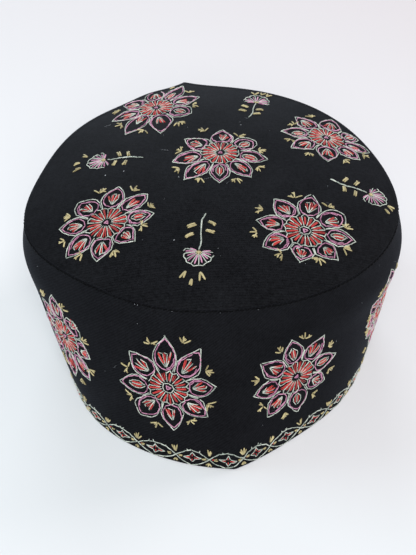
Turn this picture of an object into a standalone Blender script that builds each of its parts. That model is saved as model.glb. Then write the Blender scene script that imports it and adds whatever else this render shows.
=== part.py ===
# Embroidered cap: a domed crown panel sewn to one tall side band.
# Sizes are in metres, with +Z up and the cap standing on its rim at z = 0.
# Angles round the cap are in radians, from the front (-Y) towards +X.
import math

import bmesh
import bpy
import numpy as np

# Main sizes
SEAM_HEIGHT = 0.0897
CROWN_RISE = 0.0125
CROWN_POWER = 2.7
WALL = 0.0020
SEAM_GAP = 0.0003
SEAM_ROLL = 0.0010
RIM_ROLL = 0.0005

# Creases of the side band: where each one stands, and how far round the cap it reaches
FRONT_CREASE_ANGLE = 0.168
FRONT_CREASE_REACH = 0.26
BACK_CREASE_ANGLE = 3.363
BACK_CREASE_REACH = 0.14

# The rim runs nearly straight beside the front crease
DENT_DEPTH = 0.0026
DENT_ANGLE = 0.53
DENT_REACH = 0.34

# Plan of the two edges of the band: mean radius and the height of each crease, in metres, then for each
# number of waves round the cap the cosine and the sine share of the mean radius
SEAM_EDGE = {
    "radius": 0.0887, "front_crease": 0.0, "back_crease": 0.0096, "dent": 0.0,
    "waves": {
        1: (-0.0537, -0.0074), 2: (-0.0118, -0.0017), 3: (-0.0097, 0.0011), 4: (-0.0003, 0.0),
        5: (0.0090, 0.0049), 6: (0.0027, -0.0049), 7: (-0.0029, -0.0035),
    },
}
RIM_EDGE = {
    "radius": 0.0884, "front_crease": 0.0065, "back_crease": 0.0032, "dent": DENT_DEPTH,
    "waves": {
        1: (-0.0101, 0.0093), 2: (0.0592, 0.0072), 3: (0.0116, -0.0128), 4: (0.0043, -0.0037),
        5: (-0.0095, -0.0001), 6: (-0.0029, 0.0034), 7: (0.0053, 0.0023),
    },
}

# The seam climbs towards the back and dips at the sides: cosine share in metres for each number of waves
SEAM_LEVEL = {1: -0.0026, 2: 0.0024}

# How far the wall stands out between its edges, in metres: mean, then the shares of cos, cos of twice
# the angle, and sin. The belly is at mid height and the shoulder is just under the seam.
BELLY = (0.0016, -0.0006, -0.0024, -0.0017)
SHOULDER = (0.0012, -0.0001, -0.0020, 0.0006)
SHOULDER_LEVEL = 0.80
SHOULDER_REACH = 0.15

# Fineness of the meshes
SEGMENTS = 96
BAND_LEVELS = 12
CROWN_RINGS = (0.10, 0.24, 0.38, 0.50, 0.61, 0.70, 0.78, 0.85, 0.91, 0.96)
ROLL_STEPS = 2
SMOOTH_ANGLE = math.radians(40)

BLACK_CLOTH = (0.010, 0.010, 0.012, 1.0)


def crease(angles, centre, reach):
    """Height of a crease of unit height: it falls away evenly on both sides."""
    turn = np.arctan2(np.sin(angles - centre), np.cos(angles - centre))
    return np.exp(-np.abs(turn) / reach)


def dent(angles):
    turn = np.arctan2(np.sin(angles - DENT_ANGLE), np.cos(angles - DENT_ANGLE))
    return np.exp(-(turn / DENT_REACH) ** 2)


def edge_radius(edge, angles):
    """Plan radius of the seam or the rim: waves round a circle, two creases and a dent."""
    waves = 1.0
    for count, (cosine, sine) in edge["waves"].items():
        waves = waves + cosine * np.cos(count * angles) + sine * np.sin(count * angles)
    creases = edge["front_crease"] * crease(angles, FRONT_CREASE_ANGLE, FRONT_CREASE_REACH)
    creases = creases + edge["back_crease"] * crease(angles, BACK_CREASE_ANGLE, BACK_CREASE_REACH)
    return edge["radius"] * waves + creases - edge["dent"] * dent(angles)


def around(shares, angles):
    mean, cosine, cosine_twice, sine = shares
    return mean + cosine * np.cos(angles) + cosine_twice * np.cos(2 * angles) + sine * np.sin(angles)


def seam_level(angles):
    level = SEAM_HEIGHT
    for count, share in SEAM_LEVEL.items():
        level = level + share * np.cos(count * angles)
    return level


def band_radius(angles, climb):
    """Radius of the band's outer face, at a share of the way up from the rim to the seam."""
    straight = (1 - climb) * edge_radius(RIM_EDGE, angles) + climb * edge_radius(SEAM_EDGE, angles)
    belly = around(BELLY, angles) * 4 * climb * (1 - climb)
    shoulder = around(SHOULDER, angles) * math.exp(-((climb - SHOULDER_LEVEL) / SHOULDER_REACH) ** 2)
    return straight + belly + shoulder


def ring(angles, radius, level):
    return np.stack([radius * np.sin(angles), -radius * np.cos(angles), level + 0 * angles], axis=1)


def side_band_rings(angles):
    """Closed section of the band, from the rim up the outer face, over the top and down the inner face."""
    top = seam_level(angles) - SEAM_GAP / 2
    levels = np.linspace(0, 1, BAND_LEVELS + 1)
    rings = []
    for step in range(ROLL_STEPS + 1):
        turn = math.pi / 2 * step / ROLL_STEPS
        inset = RIM_ROLL * (1 - math.sin(turn))
        rings.append(ring(angles, band_radius(angles, 0.0) - inset, RIM_ROLL * (1 - math.cos(turn))))
    for climb in levels[1:-1]:
        rings.append(ring(angles, band_radius(angles, climb), top * climb))
    for step in range(ROLL_STEPS + 1):
        turn = math.pi / 2 * step / ROLL_STEPS
        inset = SEAM_ROLL * (1 - math.cos(turn))
        rings.append(ring(angles, band_radius(angles, 1.0) - inset, top - SEAM_ROLL * (1 - math.sin(turn))))
    for climb in levels[::-1][:-1]:
        rings.append(ring(angles, band_radius(angles, climb) - WALL, top * climb))
    for step in range(ROLL_STEPS + 1):
        turn = math.pi / 2 * step / ROLL_STEPS
        inset = WALL - RIM_ROLL * (1 - math.cos(turn))
        rings.append(ring(angles, band_radius(angles, 0.0) - inset, RIM_ROLL * (1 - math.sin(turn))))
    return rings


def dome(angles, edge, middle, apex, foot, share):
    """Ring of a dome at a share of the way out from its middle: flat inside, rolling over at its edge."""
    points = middle + (edge - middle) * share
    points[:, 2] = apex + (foot - apex) * share ** CROWN_POWER
    return points


def crown_rings(angles):
    """Section of the crown, from the middle out over the top, round its edge and back under it."""
    seam = seam_level(angles) + SEAM_GAP / 2
    apex = SEAM_HEIGHT + CROWN_RISE
    radius = band_radius(angles, 1.0)
    outer_edge = ring(angles, radius, seam)
    inner_edge = ring(angles, radius - WALL, seam)
    middle = np.array([0.0, (outer_edge[:, 1].max() + outer_edge[:, 1].min()) / 2, 0.0])
    rings = []
    for share in CROWN_RINGS:
        rings.append(dome(angles, outer_edge, middle, apex, seam + SEAM_ROLL, share))
    for step in range(ROLL_STEPS + 1):
        turn = math.pi / 2 * step / ROLL_STEPS
        inset = SEAM_ROLL * (1 - math.cos(turn))
        rings.append(ring(angles, radius - inset, seam + SEAM_ROLL * (1 - math.sin(turn))))
    rings.append(inner_edge)
    for share in CROWN_RINGS[::-1]:
        rings.append(dome(angles, inner_edge, middle, apex - WALL, seam, share))
    poles = [np.array([middle[0], middle[1], apex]), np.array([middle[0], middle[1], apex - WALL])]
    return rings, poles


def plan_centre(angles):
    """Middle of the box that the band fills, which becomes the origin."""
    low = np.full(2, np.inf)
    high = np.full(2, -np.inf)
    for points in side_band_rings(angles):
        low = np.minimum(low, points[:, :2].min(axis=0))
        high = np.maximum(high, points[:, :2].max(axis=0))
    return (low + high) / 2


def loft(name, rings, poles, shift):
    """Skin between rings of points. With no poles the last ring joins the first one."""
    shell = bmesh.new()
    offset = np.array([shift[0], shift[1], 0.0])
    loops = [[shell.verts.new(point - offset) for point in points] for points in rings]
    pairs = list(zip(loops[:-1], loops[1:]))
    if not poles:
        pairs.append((loops[-1], loops[0]))
    for lower, upper in pairs:
        for index in range(SEGMENTS):
            following = (index + 1) % SEGMENTS
            shell.faces.new((lower[index], lower[following], upper[following], upper[index]))
    for pole, loop in zip(poles, (loops[0], loops[-1])):
        tip = shell.verts.new(pole - offset)
        for index in range(SEGMENTS):
            shell.faces.new((loop[index], loop[(index + 1) % SEGMENTS], tip))
    bmesh.ops.recalc_face_normals(shell, faces=shell.faces)
    bmesh.ops.triangulate(shell, faces=shell.faces)
    mesh = bpy.data.meshes.new(name)
    shell.to_mesh(mesh)
    shell.free()
    mesh.shade_smooth()
    mesh.set_sharp_from_angle(angle=SMOOTH_ANGLE)
    return mesh


def cloth_material(name):
    material = bpy.data.materials.new(name)
    material.use_nodes = True
    shader = material.node_tree.nodes["Principled BSDF"]
    shader.inputs["Base Color"].default_value = BLACK_CLOTH
    shader.inputs["Roughness"].default_value = 0.9
    shader.inputs["Metallic"].default_value = 0.0
    return material


def add_piece(name, mesh):
    mesh.materials.append(cloth_material(name + "_cloth"))
    piece = bpy.data.objects.new(name, mesh)
    bpy.context.scene.collection.objects.link(piece)
    return piece


def main():
    for old in list(bpy.data.objects):
        bpy.data.objects.remove(old, do_unlink=True)
    angles = np.linspace(0, 2 * math.pi, SEGMENTS, endpoint=False) + FRONT_CREASE_ANGLE
    centre = plan_centre(angles)
    add_piece("side_band", loft("side_band", side_band_rings(angles), [], centre))
    rings, poles = crown_rings(angles)
    add_piece("crown", loft("crown", rings, poles, centre))


main()
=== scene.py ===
import math

import bpy
import numpy as np
from mathutils import Matrix


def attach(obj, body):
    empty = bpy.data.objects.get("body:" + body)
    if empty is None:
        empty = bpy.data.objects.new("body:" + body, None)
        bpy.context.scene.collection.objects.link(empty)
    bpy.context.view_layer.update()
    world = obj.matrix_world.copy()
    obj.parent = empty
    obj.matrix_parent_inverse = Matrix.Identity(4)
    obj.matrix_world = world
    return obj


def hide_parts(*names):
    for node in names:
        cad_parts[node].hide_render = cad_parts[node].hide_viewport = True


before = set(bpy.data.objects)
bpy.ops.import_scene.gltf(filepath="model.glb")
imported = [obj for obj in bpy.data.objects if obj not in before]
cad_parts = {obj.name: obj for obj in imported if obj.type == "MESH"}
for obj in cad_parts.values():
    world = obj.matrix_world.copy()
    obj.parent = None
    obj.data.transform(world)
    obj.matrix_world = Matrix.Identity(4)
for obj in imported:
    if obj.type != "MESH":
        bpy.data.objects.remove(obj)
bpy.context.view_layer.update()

# Lengths are in millimetres until a mesh is made, and mm turns them to metres.
# phi runs round the cap from the front (-Y) towards +X, and climb runs from 0 at the rim to 1 at the seam.
mm = 0.001
fullTurn = 2 * math.pi
print("frame loaded:", sorted(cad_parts))

# The camera stands at the photograph's place. The focal length is the fitted one, in pixels of the long side.
cameraValues = {
    "place": (23.68, -340.36, 338.65),
    "pitchDown": 41.72,
    "swing": 4.389,
    "roll": -0.769,
    "focalPixels": 856.6,
    "longSidePixels": 555,
    "sensor": 36.0,
}


def putCamera(values):
    data = bpy.data.cameras.new("camera")
    data.sensor_width = values["sensor"]
    data.lens = values["focalPixels"] / values["longSidePixels"] * values["sensor"]
    data.clip_start = 0.01
    camera = bpy.data.objects.new("camera", data)
    bpy.context.scene.collection.objects.link(camera)
    turn = Matrix.Rotation(math.radians(values["swing"]), 4, "Z")
    turn = turn @ Matrix.Rotation(math.radians(90 - values["pitchDown"]), 4, "X")
    turn = turn @ Matrix.Rotation(math.radians(values["roll"]), 4, "Z")
    place = [length * mm for length in values["place"]]
    camera.matrix_world = Matrix.Translation(place) @ turn
    bpy.context.scene.camera = camera


putCamera(cameraValues)
print("camera placed")

# Form of the cap, with the same values as its solids have. An edge of the band has a mean radius, the height
# of its two creases and its dent, and the cosine and sine shares for each number of waves round the cap.
capShape = {
    "seamHeight": 89.7, "crownRise": 12.5, "crownPower": 2.7, "wall": 2.0,
    "frontCrease": 0.168, "frontCreaseReach": 0.26, "backCrease": 3.363, "backCreaseReach": 0.14,
    "dentAngle": 0.53, "dentReach": 0.34,
    "seamEdge": {
        "radius": 88.7, "front": 0.0, "back": 9.6, "dent": 0.0,
        "waves": {
            1: (-0.0537, -0.0074), 2: (-0.0118, -0.0017), 3: (-0.0097, 0.0011), 4: (-0.0003, 0.0),
            5: (0.0090, 0.0049), 6: (0.0027, -0.0049), 7: (-0.0029, -0.0035),
        },
    },
    "rimEdge": {
        "radius": 88.4, "front": 6.5, "back": 3.2, "dent": 2.6,
        "waves": {
            1: (-0.0101, 0.0093), 2: (0.0592, 0.0072), 3: (0.0116, -0.0128), 4: (0.0043, -0.0037),
            5: (-0.0095, -0.0001), 6: (-0.0029, 0.0034), 7: (0.0053, 0.0023),
        },
    },
    "seamLevel": {1: -2.6, 2: 2.4},
    "belly": (1.6, -0.6, -2.4, -1.7),
    "shoulder": (1.2, -0.1, -2.0, 0.6), "shoulderLevel": 0.80, "shoulderReach": 0.15,
    "planMiddle": (-0.260, 0.388), "evenRadius": 88.0,
}

# Softness of the sewn cloth: low swells, and the small puckers that the seam draws in beside it, with their
# heights in mm. Each wave of the band's swell has its number round the cap, its start, its lean up the wall
# and its share; each wave of the crown's has its lengths across and along in mm, its start and its share.
# Puckers have their number, the number of their wobbles and of their slow changes, the start of these, and
# how far from the seam they reach their height.
softness = {
    "bandSwell": 0.30, "bandWaves": ((5, 0.7, 2.1, 0.5), (9, -1.1, -5.0, 0.3), (15, 2.4, 8.0, 0.2)),
    "bandPucker": 0.16, "bandPuckers": (62, 4, 3, 1.0, 1.5), "bandCalm": 0.7,
    "crownSwell": 0.30,
    "crownWaves": ((15.0, -19.0, 2.5708, 0.3), (15.0, 19.0, -1.3708, 0.3), (8.5, -11.0, 1.7, 0.4)),
    "crownPucker": 0.14, "crownPuckers": (58, 3, 2, 2.0708, 2.5),
    "puckerReach": 6.5, "puckerWobble": 2.0, "puckerChange": 0.4,
}


# Numbers side by side in a last direction, such as x, y and z in points
def joined(*parts):
    return np.stack(np.broadcast_arrays(*parts), axis=-1)


def nearTurn(angles, centre):
    return np.arctan2(np.sin(angles - centre), np.cos(angles - centre))


# Plan radius of an edge: waves round a circle, plus two creases that fall away evenly, less one dent
def edgeRadius(edge, phi):
    waves = 1.0
    for count, (cosine, sine) in edge["waves"].items():
        waves = waves + cosine * np.cos(count * phi) + sine * np.sin(count * phi)
    front = np.exp(-np.abs(nearTurn(phi, capShape["frontCrease"])) / capShape["frontCreaseReach"])
    back = np.exp(-np.abs(nearTurn(phi, capShape["backCrease"])) / capShape["backCreaseReach"])
    dent = np.exp(-(nearTurn(phi, capShape["dentAngle"]) / capShape["dentReach"]) ** 2)
    return edge["radius"] * waves + edge["front"] * front + edge["back"] * back - edge["dent"] * dent


def aroundCap(shares, phi):
    mean, cosine, cosineTwice, sine = shares
    return mean + cosine * np.cos(phi) + cosineTwice * np.cos(2 * phi) + sine * np.sin(phi)


def seamLevel(phi):
    level = capShape["seamHeight"] + 0 * phi
    for count, share in capShape["seamLevel"].items():
        level = level + share * np.cos(count * phi)
    return level


# Soft fullness of the cloth: each place bulges by its height in mm, and falls away as a bell round the cap
# and up the wall
fullness = {
    "leftOfBackCrease": {"phi": 3.58, "climb": 1.0, "out": 2.6, "reach": 0.13, "climbReach": 0.5},
    "rightSide": {"phi": 1.55, "climb": 0.56, "out": 1.1, "reach": 0.35, "climbReach": 0.25},
}


def bulges(phi, climb):
    total = 0 * phi * climb
    for place in fullness.values():
        turn = nearTurn(phi, place["phi"]) / place["reach"]
        rise = (climb - place["climb"]) / place["climbReach"]
        total = total + place["out"] * np.exp(-turn ** 2 - rise ** 2)
    return total


# Radius of the band's outer face: a straight line from the rim's radius to the seam's, plus a belly at mid
# height, a shoulder under the seam and the soft bulges
def bandRadius(phi, climb):
    rim, seam = (edgeRadius(capShape[edge], phi) for edge in ("rimEdge", "seamEdge"))
    belly = aroundCap(capShape["belly"], phi) * 4 * climb * (1 - climb)
    shoulderShare = np.exp(-((climb - capShape["shoulderLevel"]) / capShape["shoulderReach"]) ** 2)
    shoulder = aroundCap(capShape["shoulder"], phi) * shoulderShare
    return (1 - climb) * rim + climb * seam + belly + shoulder + bulges(phi, climb)


# Quick uneven sine waves round the cap, which rise a little way from the seam and then die away
def puckers(phi, away, kind):
    count, wobbles, changes, start, clear = softness[kind]
    quick = np.sin(count * phi + softness["puckerWobble"] * np.sin(wobbles * phi))
    slow = 1 - softness["puckerChange"] * (1 - np.sin(changes * phi + start))
    return quick * slow * np.exp(-away / softness["puckerReach"]) * np.clip(away / clear, 0, 1)


# The swell is a sum of slow leaning sine waves, which is nothing at the rim and at the seam
def bandRelief(phi, climb):
    swell = 0.0
    for count, start, lean, share in softness["bandWaves"]:
        swell = swell + np.sin(count * phi + start + lean * climb) * share
    swell = swell * np.sin(math.pi * np.clip(climb, 0, 1)) ** softness["bandCalm"]
    pucker = puckers(phi, (1 - climb) * capShape["seamHeight"], "bandPuckers")
    return softness["bandSwell"] * swell + softness["bandPucker"] * pucker


# Place of a radius, angle and level, with the middle of the cap's box at the origin
def capPoint(radius, phi, level):
    middle = capShape["planMiddle"]
    return joined(radius * np.sin(phi) - middle[0], -radius * np.cos(phi) - middle[1], level)


def bandPoint(phi, climb):
    return capPoint(bandRadius(phi, climb) + bandRelief(phi, climb), phi, seamLevel(phi) * climb)


def unit(vectors):
    return vectors / np.linalg.norm(vectors, axis=-1, keepdims=True)


# Outward direction of the band: the cross product of its steps round the cap and up the wall
def bandNormal(phi, climb):
    step = 0.004
    across = bandPoint(phi + step, climb) - bandPoint(phi - step, climb)
    upward = bandPoint(phi, climb + step) - bandPoint(phi, climb - step)
    return unit(np.cross(across, upward))


# The crown's plan is read in polar form about the middle of the seam's plan: a share of 1 is the seam.
planPhi = np.linspace(-math.pi, math.pi, 1441)
planRadius = bandRadius(planPhi, 1.0)
planX = planRadius * np.sin(planPhi)
planY = -planRadius * np.cos(planPhi)
planMidY = (planY.max() + planY.min()) / 2
edgePhi = np.arctan2(planX, -(planY - planMidY))
edgeReach = np.hypot(planX, planY - planMidY)
edgeOrder = np.argsort(edgePhi)
edgePhi = edgePhi[edgeOrder]
edgeReach = edgeReach[edgeOrder]
edgeSeamPhi = planPhi[edgeOrder]
crownApex = capShape["seamHeight"] + capShape["crownRise"]


def crownShare(x, y):
    across = x + capShape["planMiddle"][0]
    along = y + capShape["planMiddle"][1] - planMidY
    phi = np.arctan2(across, -along)
    return np.hypot(across, along) / np.interp(phi, edgePhi, edgeReach, period=fullTurn), phi


# Height of the crown: the apex, falling with a power of the share of the way out to the seam, plus a swell of
# sine waves that is nothing at the seam, and the puckers
def crownLevel(x, y):
    share, phi = crownShare(x, y)
    seamPhi = np.interp(phi, edgePhi, edgeSeamPhi)
    foot = seamLevel(seamPhi) + crownValues["roll"]
    level = crownApex + (foot - crownApex) * np.clip(share, 0, 1.03) ** capShape["crownPower"]
    inside = np.clip(1 - share ** 4, 0, 1)
    swell = 0.0
    for across, along, start, amount in softness["crownWaves"]:
        swell = swell + np.sin(x / across + y / along + start) * amount
    pucker = puckers(phi, (1 - share) * capShape["evenRadius"], "crownPuckers")
    return level + softness["crownSwell"] * swell * inside + softness["crownPucker"] * pucker


def crownPoint(x, y):
    return joined(x, y, crownLevel(x, y))


def crownNormal(x, y):
    step = 0.25
    slopeX = (crownLevel(x + step, y) - crownLevel(x - step, y)) / (2 * step)
    slopeY = (crownLevel(x, y + step) - crownLevel(x, y - step)) / (2 * step)
    return unit(joined(-slopeX, -slopeY, 1.0))


def putMesh(name, points, quads, triangles=None, uvs=None, shade=None):
    # points in mm; uvs one pair for each corner of each face; shade one number for each point
    mesh = bpy.data.meshes.new(name)
    loops = quads.ravel()
    starts = np.arange(len(quads)) * 4
    if triangles is not None:
        starts = np.concatenate([starts, len(loops) + np.arange(len(triangles)) * 3])
        loops = np.concatenate([loops, triangles.ravel()])
    mesh.vertices.add(len(points))
    mesh.vertices.foreach_set("co", (points * mm).astype(np.float32).ravel())
    mesh.loops.add(len(loops))
    mesh.loops.foreach_set("vertex_index", loops.astype(np.int32))
    mesh.polygons.add(len(starts))
    mesh.polygons.foreach_set("loop_start", starts.astype(np.int32))
    mesh.update(calc_edges=True)
    if uvs is not None:
        layer = mesh.uv_layers.new(name="surface")
        layer.data.foreach_set("uv", uvs.astype(np.float32).ravel())
    if shade is not None:
        attribute = mesh.attributes.new("shade", "FLOAT", "POINT")
        attribute.data.foreach_set("value", shade.astype(np.float32))
    mesh.shade_smooth()
    piece = bpy.data.objects.new(name, mesh)
    bpy.context.scene.collection.objects.link(piece)
    return piece


def hexColour(code):
    parts = np.array([int(code[first:first + 2], 16) for first in (1, 3, 5)]) / 255
    linear = np.where(parts <= 0.04045, parts / 12.92, ((parts + 0.055) / 1.055) ** 2.4)
    return (float(linear[0]), float(linear[1]), float(linear[2]), 1.0)


def addNode(tree, kind, options=None, values=None, links=None):
    node = tree.nodes.new(kind)
    for key, value in (options or {}).items():
        setattr(node, key, value)
    for key, value in (values or {}).items():
        node.inputs[key].default_value = value
    for key, source in (links or {}).items():
        tree.links.new(source, node.inputs[key])
    return node


def newMaterial(name):
    material = bpy.data.materials.new(name)
    material.use_nodes = True
    material.node_tree.nodes.clear()
    return material, material.node_tree


# Black cotton twill: a dull yarn cloth, blotchy with worn nap, whose slanting ribs catch a faint cool light
# where they are seen edge on. The ribs are really about 0.6 mm apart and are drawn 1.3 mm apart to show. Each
# panel has its own turn of the ribs in degrees, their share of the shade, and its light colour, which stands
# for
# worn nap and also paints light: the crown's is paler than the band's, though both are the same cloth.
clothValues = {
    "dark": "#050506", "roughness": 0.75, "specular": 0.020,
    "nap": 0.024, "napRoughness": 0.45, "napTint": "#d3e2ff",
    "ribGap": 1.3, "ribLooks": {"Distortion": 3.0, "Detail": 3.0, "Detail Scale": 1.2},
    "ribBump": 2.0, "ribDepth": 0.10, "yarnBump": 0.60, "yarnDepth": 0.12,
    "yarnGap": 0.50, "yarnShare": 0.36, "fluffGap": 1.9, "fluffShare": 0.22, "patchGap": 20.0,
    "patchShare": 0.14, "noiseLooks": {"Detail": 3.0, "Roughness": 0.6}, "contrast": (0.29, 0.55),
}


# Source times its share, on top of what came before
def addShare(tree, source, share, before=None):
    values = {1: share} if before else {1: share, 2: 0.0}
    links = {0: source, 2: before} if before else {0: source}
    return addNode(tree, "ShaderNodeMath", {"operation": "MULTIPLY_ADD"}, values, links).outputs["Value"]


def mixColours(tree, factor, dark, light):
    colours = {6: hexColour(dark), 7: hexColour(light)}
    return addNode(tree, "ShaderNodeMix", {"data_type": "RGBA"}, colours, {"Factor": factor}).outputs[2]


def stretch(tree, source, low, high):
    ends = {"From Min": low, "From Max": high}
    return addNode(tree, "ShaderNodeMapRange", None, ends, {"Value": source}).outputs["Result"]


# Slanting lines a gap in mm apart. The map is in mm too, and a wave of scale s repeats every 0.314 / s of it.
def slantLines(tree, surface, turn, gap, looks):
    rotation = {"Rotation": (0, 0, math.radians(turn))}
    turned = addNode(tree, "ShaderNodeMapping", None, rotation, {"Vector": surface}).outputs["Vector"]
    options = {"wave_type": "BANDS", "bands_direction": "X"}
    values = {"Scale": 0.314 / gap, **looks}
    return addNode(tree, "ShaderNodeTexWave", options, values, {"Vector": turned}).outputs["Fac"]


def bump(tree, strength, depth, height, before=None):
    links = {"Height": height, "Normal": before} if before else {"Height": height}
    values = {"Strength": strength, "Distance": depth * mm}
    return addNode(tree, "ShaderNodeBump", None, values, links).outputs["Normal"]


# The surface itself, of the values and links given, and the material's output
def finishMaterial(tree, values, links):
    shader = addNode(tree, "ShaderNodeBsdfPrincipled", None, values, links)
    addNode(tree, "ShaderNodeOutputMaterial", None, None, {"Surface": shader.outputs["BSDF"]})


def clothMaterial(name, panel):
    v = clothValues
    material, tree = newMaterial(name)
    surface = addNode(tree, "ShaderNodeUVMap", {"uv_map": "surface"}).outputs["UV"]
    ribs = slantLines(tree, surface, panel["ribTurn"], v["ribGap"], v["ribLooks"])
    shades = addShare(tree, ribs, panel["ribShare"])
    noises = {}
    for key in ("yarn", "fluff", "patch"):
        values = {"Scale": 1 / v[key + "Gap"], **v["noiseLooks"]}
        noises[key] = addNode(tree, "ShaderNodeTexNoise", None, values, {"Vector": surface}).outputs["Fac"]
        shades = addShare(tree, noises[key], v[key + "Share"], shades)
    slant = bump(tree, v["ribBump"] * panel["ribShare"], v["ribDepth"], ribs)
    colour = mixColours(tree, stretch(tree, shades, *v["contrast"]), v["dark"], panel["wornAndPaintedLight"])
    finishMaterial(tree, {
        "Roughness": v["roughness"], "Specular IOR Level": v["specular"], "Sheen Weight": v["nap"],
        "Sheen Roughness": v["napRoughness"], "Sheen Tint": hexColour(v["napTint"]),
    }, {"Base Color": colour, "Normal": bump(tree, v["yarnBump"], v["yarnDepth"], noises["yarn"], slant)})
    return material


# Two-ply cotton floss: a soft round thread whose twist shows as slanting light and dark, with a slight
# lustre. Each stitch has its own depth of dye, kept in the shade attribute. Each colour has its deep and its
# pale dye and its lustre.
flossValues = {
    "twistGap": 0.55, "twistTurn": 38, "twistLooks": {"Distortion": 0.3, "Detail": 1.0}, "twistShare": 0.30,
    "bump": 0.5, "depth": 0.08, "roughness": 0.62, "fuzz": 0.27,
    "colours": {
        "sage": ("#737e75", "#bcc2b7", 0.28), "pink": ("#7a4463", "#be86a1", 0.28),
        "red": ("#6f1012", "#b93430", 0.30), "yellow": ("#746945", "#b3a77b", 0.30),
        # The black floss is darker and duller than the cloth, so that the seam stitches also paint the seam's
        # shadow
        "black": ("#020203", "#090a0b", 0.03), "lint": ("#3f4448", "#989da1", 0.20),
    },
}


def flossMaterial(name, dark, light, lustre):
    v = flossValues
    material, tree = newMaterial(name)
    surface = addNode(tree, "ShaderNodeUVMap", {"uv_map": "surface"}).outputs["UV"]
    twist = slantLines(tree, surface, v["twistTurn"], v["twistGap"], v["twistLooks"])
    dye = addNode(tree, "ShaderNodeAttribute", {"attribute_name": "shade"}).outputs["Fac"]
    colour = mixColours(tree, addShare(tree, twist, v["twistShare"], dye), dark, light)
    values = {"Roughness": v["roughness"], "Specular IOR Level": lustre, "Sheen Weight": v["fuzz"] * lustre}
    finishMaterial(tree, values, {"Base Color": colour, "Normal": bump(tree, v["bump"], v["depth"], twist)})
    return material


# Side band: one strip of doubled cloth with a round fold at the rim, a small roll at the seam, and inside
# the turned-up hem. Its strip is closed at the back, between two rosettes.
bandValues = {
    "columns": 512, "outerRows": 84, "innerRows": 26, "rimRoll": 0.9, "seamRoll": 1.05,
    "closing": 2.972, "closingDepth": 0.28, "closingWidth": 0.9, "hemHeight": 8.0, "hemThickness": 0.35,
    "hemEdge": 0.25, "innerCalm": 0.5, "rowsDraw": 0.07, "girthClimb": 0.5, "rimClimb": 0.06,
    "ribTurn": 48, "ribShare": 0.08, "wornAndPaintedLight": "#1a1b1e",
}


# Girth of the band at a climb, as running lengths from the front: one table to go from phi to length
def girthTable(climb):
    phi = np.linspace(-math.pi, math.pi, 2881)
    points = bandPoint(phi, climb + 0 * phi)
    steps = np.linalg.norm(np.diff(points, axis=0), axis=1)
    running = np.concatenate([[0], np.cumsum(steps)])
    return phi, running - np.interp(0, phi, running)


girthPhi, midGirth = girthTable(bandValues["girthClimb"])
rimGirth = girthTable(bandValues["rimClimb"])[1]


# Skin between the rows of a grid, each of them one closed ring
def gridFaces(rows, columns, closedRows=False):
    row = np.arange(rows if closedRows else rows - 1)
    column = np.arange(columns)
    low, left = np.meshgrid(row, column, indexing="ij")
    high = (low + 1) % rows
    right = (left + 1) % columns
    corners = [(low, left), (low, right), (high, right), (high, left)]
    quads = joined(*[a * columns + b for a, b in corners]).reshape(-1, 4)
    cells = joined(low, left).reshape(-1, 2)
    return quads, cells


# The section is a closed loop of rows: rim fold, outer face, seam roll, inner face, hem. Each row has its
# climb, how far it stands in from the outer face, its height above or below its climb, and 1 on the inside.
def bandShell():
    v = bandValues
    columns = v["columns"]
    rim, roll = v["rimRoll"], v["seamRoll"]
    wall, height = capShape["wall"], capShape["seamHeight"]
    phi = v["closing"] - fullTurn + fullTurn * np.arange(columns) / columns
    quarter = np.linspace(0, math.pi / 2, 5)
    spread = np.linspace(0, 1, v["outerRows"] + 2)[1:-1]
    spread = spread + v["rowsDraw"] * np.sin(fullTurn * spread) / fullTurn
    downward = np.linspace(1, 0, v["innerRows"] + 1)[:-1]
    hem = v["hemThickness"] / (1 + np.exp(-(v["hemHeight"] - downward * height) / v["hemEdge"]))
    deep = wall + v["hemThickness"]
    sections = [
        (0, rim * (1 - np.sin(quarter)), rim * (1 - np.cos(quarter)), 0),
        ((rim + (height - roll - rim) * spread) / height, 0, 0, 0),
        (1, roll * (1 - np.cos(quarter)), -roll * (1 - np.sin(quarter)), 0),
        (downward, wall + hem, 0, 1),
        (0, deep - rim * (1 - np.cos(quarter)), rim * (1 - np.sin(quarter)), 1),
    ]
    rows = np.concatenate([joined(*section) for section in sections])
    climb, inset, lift, inner = (rows[:, [column]] for column in range(4))
    relief = bandRelief(phi, climb) * (1 - inner * v["innerCalm"])
    fromClosing = nearTurn(phi, v["closing"]) * capShape["evenRadius"]
    closing = v["closingDepth"] * np.exp(-(fromClosing / v["closingWidth"]) ** 2)
    radius = bandRadius(phi, climb) - inset + relief - closing * (1 - inner)
    points = capPoint(radius, phi, seamLevel(phi) * climb + lift)
    quads, cells = gridFaces(len(climb), columns, True)
    # Map in mm: the running girth across, and the running length of the section up
    steps = np.linalg.norm(np.diff(points[:, 0, :], axis=0, append=points[:1, 0, :]), axis=1)
    upward = np.concatenate([[0], np.cumsum(steps)])
    girth = midGirth[-1] - midGirth[0]
    across = girth * np.arange(columns + 1) / columns
    cornerRow = cells[:, :1] + [0, 0, 1, 1]
    cornerColumn = cells[:, 1:] + [0, 1, 1, 0]
    uvs = joined(across[cornerColumn], upward[cornerRow])
    return putMesh("side_band_cloth_panel", points.reshape(-1, 3), quads, None, uvs)


sideBand = bandShell()
sideBand.data.materials.append(clothMaterial("black_cotton_twill_band", bandValues))
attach(sideBand, "root")
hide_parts("side_band")
print("side band:", len(sideBand.data.polygons), "faces")

# Crown: one domed panel of doubled cloth, rolled under at the seam, with the low ridge of the turned seam
# allowance just inside its edge.
crownValues = {
    "columns": 512, "outerRows": 72, "innerRows": 22, "rowsDraw": 0.12,
    "roll": 1.0, "ridge": 0.24, "ridgeAt": 1.5, "ridgeWidth": 0.8, "innerDip": 0.02,
    # The crown's light colour is paler than the band's for the same cloth: painted light on its upward face
    "ribTurn": 84, "ribShare": 0.04, "wornAndPaintedLight": "#1f2023",
}


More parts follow.
